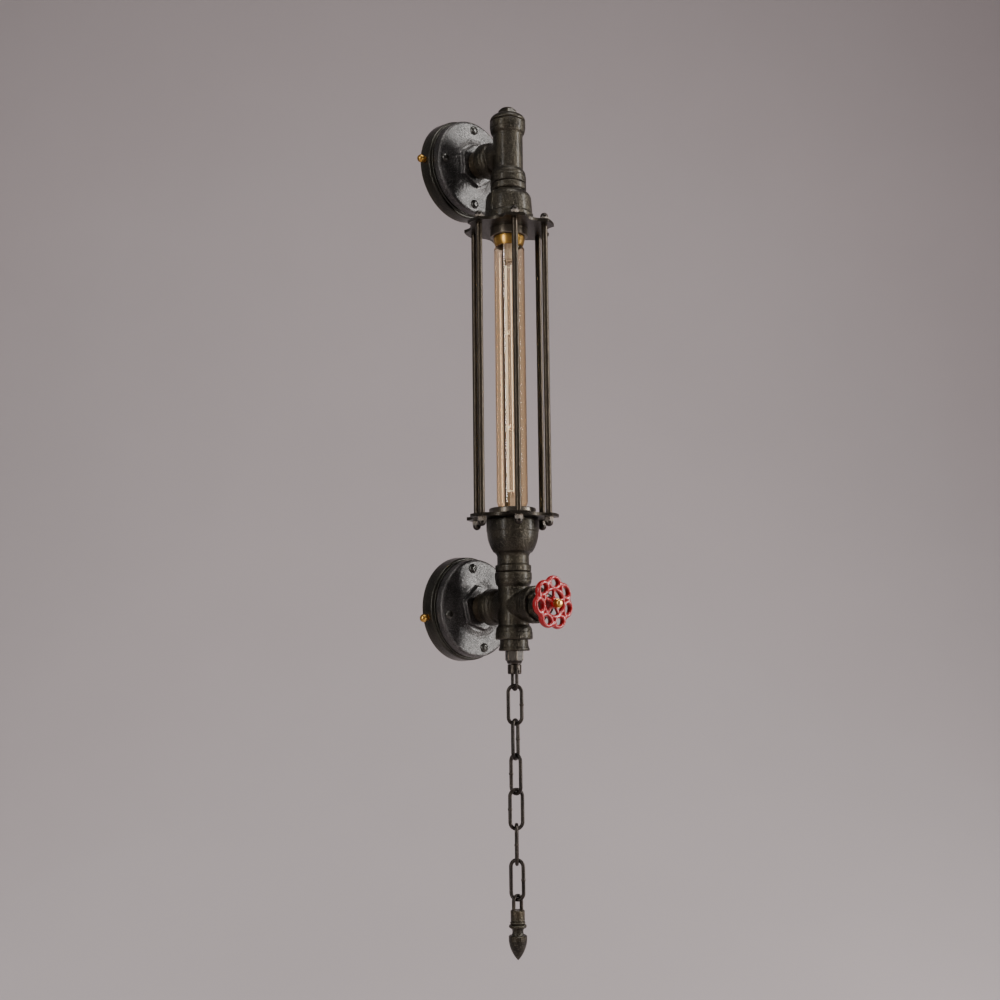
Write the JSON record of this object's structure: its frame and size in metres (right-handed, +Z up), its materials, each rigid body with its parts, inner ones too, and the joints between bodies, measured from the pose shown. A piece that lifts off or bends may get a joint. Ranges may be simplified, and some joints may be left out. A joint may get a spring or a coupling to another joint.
{
  "type": "industrial pipe wall light",
  "caption": "Wall light of cast pipe fittings with a tube lamp in a rod cage, a lobed red hand wheel and a pull chain with a turned finial.",
  "frame": {"origin": "centre of the upper wall plate on the wall's face", "axes": "+Z up, +Y into the wall, +X to the right seen from the front; the light stands out towards -Y"},
  "size_m": [0.119, 0.1352, 0.8222],
  "materials": {
    "zinc_steel": "satin",
    "dark_painted_steel": "satin",
    "black_steel_screws": "satin",
    "brass": "satin",
    "clear_glass": "gloss",
    "filament_wire": "satin",
    "black_rubber": "matte",
    "ceramic": "gloss",
    "red_enamel": "gloss",
    "bronzed_steel": "satin",
    "cage_steel": "satin",
    "chain_steel": "satin",
    "cast_iron": "satin"
  },
  "bodies": {
    "root": {"bonnet": "cast_iron", "bushing": "cast_iron", "cage_rod_1": "cage_steel", "cage_rod_2": "cage_steel", "cage_rod_3": "cage_steel", "cage_rod_4": "cage_steel", "cage_rod_5": "cage_steel", "cage_rod_6": "cage_steel", "centre_contact": "brass", "collar": "cage_steel", "cross": "cast_iron", "cushion": "black_rubber", "domed_plug": "cast_iron", "filament": "filament_wire", "holder_insulator": "ceramic", "holder_ring": "bronzed_steel", "lamp_base": "brass", "lamp_glass": "clear_glass", "lamp_holder": "bronzed_steel", "lamp_stem": "clear_glass", "lower_cage_nuts": "cage_steel", "lower_cage_plate": "cage_steel", "lower_canopy": "dark_painted_steel", "lower_flange": "cast_iron", "lower_flange_nuts": "zinc_steel", "lower_flange_screws": "black_steel_screws", "lower_reducer": "cast_iron", "lower_run_nipple": "zinc_steel", "lower_side_knobs": "brass", "lower_wall_nipple": "cast_iron", "lower_wall_strap": "zinc_steel", "packing_nut": "cast_iron", "return_spring": "zinc_steel", "screw_shell": "brass", "switch_body": "zinc_steel", "switch_gland": "cast_iron", "tee": "cast_iron", "upper_cage_nuts": "cage_steel", "upper_cage_plate": "cage_steel", "upper_canopy": "dark_painted_steel", "upper_flange": "cast_iron", "upper_flange_nuts": "zinc_steel", "upper_flange_screws": "black_steel_screws", "upper_reducer": "cast_iron", "upper_run_nipple": "zinc_steel", "upper_side_knobs": "brass", "upper_wall_nipple": "cast_iron", "upper_wall_strap": "zinc_steel"},
    "wheel": {"spindle": "zinc_steel", "hand_wheel": "red_enamel", "wheel_nut": "brass"},
    "pull": {"plunger": "chain_steel"},
    "link_1": {"chain_link_1": "chain_steel"},
    "link_2": {"chain_link_2": "chain_steel"},
    "link_3": {"chain_link_3": "chain_steel"},
    "link_4": {"chain_link_4": "chain_steel"},
    "link_5": {"chain_link_5": "chain_steel"},
    "link_6": {"chain_link_6": "chain_steel"},
    "finial": {"finial_eye": "chain_steel", "finial": "cast_iron"}
  },
  "joints": [
    {"name": "wheel_spin", "type": "hinge", "parent": "root", "child": "wheel", "pos_m": [0, -0.105, -0.447], "axis": [0, -1, 0], "continuous": true},
    {"name": "pull_slide", "type": "slide", "parent": "root", "child": "pull", "axis": [0, 0, -1], "range_m": [0, 0.008], "stiffness_N_per_m": 1000, "springref_m": -0.004, "deforming": ["return_spring"]},
    {"name": "link_1_swing", "type": "hinge", "parent": "pull", "child": "link_1", "pos_m": [0, -0.073, -0.5254], "axis": [-0.3584, -0.9336, 0], "range_deg": [-40, 40]},
    {"name": "link_2_swing", "type": "hinge", "parent": "link_1", "child": "link_2", "pos_m": [0, -0.073, -0.55755], "axis": [0.7193, -0.6947, 0], "range_deg": [-40, 40]},
    {"name": "link_3_swing", "type": "hinge", "parent": "link_2", "child": "link_3", "pos_m": [0, -0.073, -0.58955], "axis": [-0.9205, -0.3907, 0], "range_deg": [-40, 40]},
    {"name": "link_4_swing", "type": "hinge", "parent": "link_3", "child": "link_4", "pos_m": [0, -0.073, -0.62155], "axis": [0, -1, 0], "range_deg": [-40, 40]},
    {"name": "link_5_swing", "type": "hinge", "parent": "link_4", "child": "link_5", "pos_m": [0, -0.073, -0.65355], "axis": [-0.9205, 0.3907, 0], "range_deg": [-40, 40]},
    {"name": "link_6_swing", "type": "hinge", "parent": "link_5", "child": "link_6", "pos_m": [0, -0.073, -0.68555], "axis": [-0.7193, -0.6947, 0], "range_deg": [-40, 40]},
    {"name": "finial_swing", "type": "hinge", "parent": "link_6", "child": "finial", "pos_m": [0, -0.073, -0.71755], "axis": [-0.3584, 0.9336, 0], "range_deg": [-40, 40]}
  ]
}
